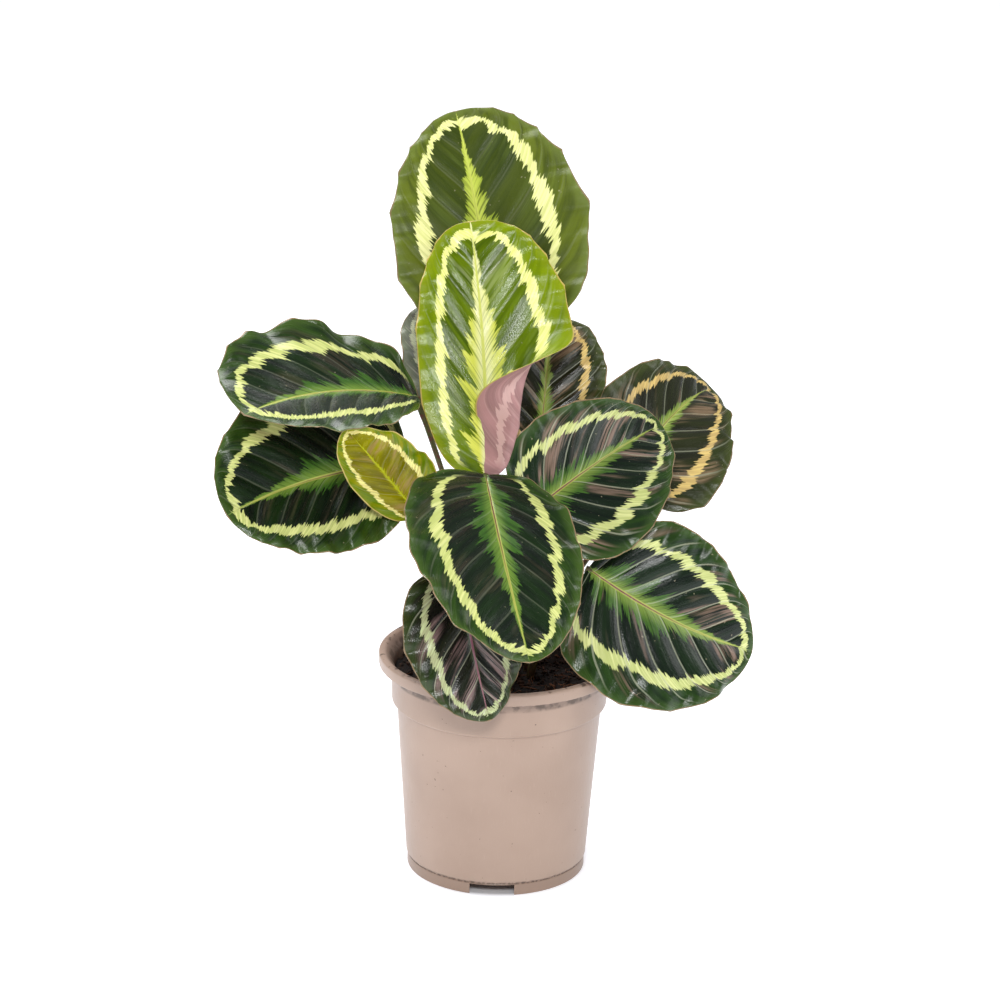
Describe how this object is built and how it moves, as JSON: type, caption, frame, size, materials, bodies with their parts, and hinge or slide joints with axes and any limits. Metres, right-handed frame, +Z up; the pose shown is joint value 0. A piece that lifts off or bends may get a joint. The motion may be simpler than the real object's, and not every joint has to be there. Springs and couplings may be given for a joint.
{
  "type": "potted house plant",
  "caption": "Calathea with broad patterned leaves on slender stalks, growing from dark soil in a tapered plastic nursery pot with a collar and an overhanging lip.",
  "frame": {"origin": "on the ground, under the middle of the whole plant's box; the pot's axis stands at x 7 mm, y -2 mm", "axes": "+Z up along the pot's axis; -Y towards the side the leaves face; +X to the right seen from there"},
  "size_m": [0.2641, 0.2422, 0.3654],
  "materials": {
    "pot_plastic": "satin",
    "soil": "matte",
    "stalk": "satin",
    "mature_leaf": "satin",
    "olive_leaf": "satin",
    "young_leaf": "satin"
  },
  "bodies": {
    "root": {"pot": "pot_plastic", "soil": "soil", "stalk_rear_tall": "stalk", "blade_rear_tall": "olive_leaf", "stalk_front_rolled": "stalk", "blade_front_rolled": "young_leaf", "stalk_left_upper": "stalk", "blade_left_upper": "mature_leaf", "stalk_left_lower": "stalk", "blade_left_lower": "mature_leaf", "stalk_left_inner": "stalk", "blade_left_inner": "young_leaf", "stalk_front_centre": "stalk", "blade_front_centre": "mature_leaf", "stalk_right_centre": "stalk", "blade_right_centre": "mature_leaf", "stalk_right_rear": "stalk", "blade_right_rear": "mature_leaf", "stalk_right_lower": "stalk", "blade_right_lower": "mature_leaf", "stalk_back_upright": "stalk", "blade_back_upright": "mature_leaf", "stalk_back_left": "stalk", "blade_back_left": "mature_leaf", "stalk_front_low": "stalk", "blade_front_low": "mature_leaf", "stalk_back_low_right": "stalk", "blade_back_low_right": "mature_leaf", "stalk_back_low_left": "stalk", "blade_back_low_left": "mature_leaf"}
  },
  "joints": []
}
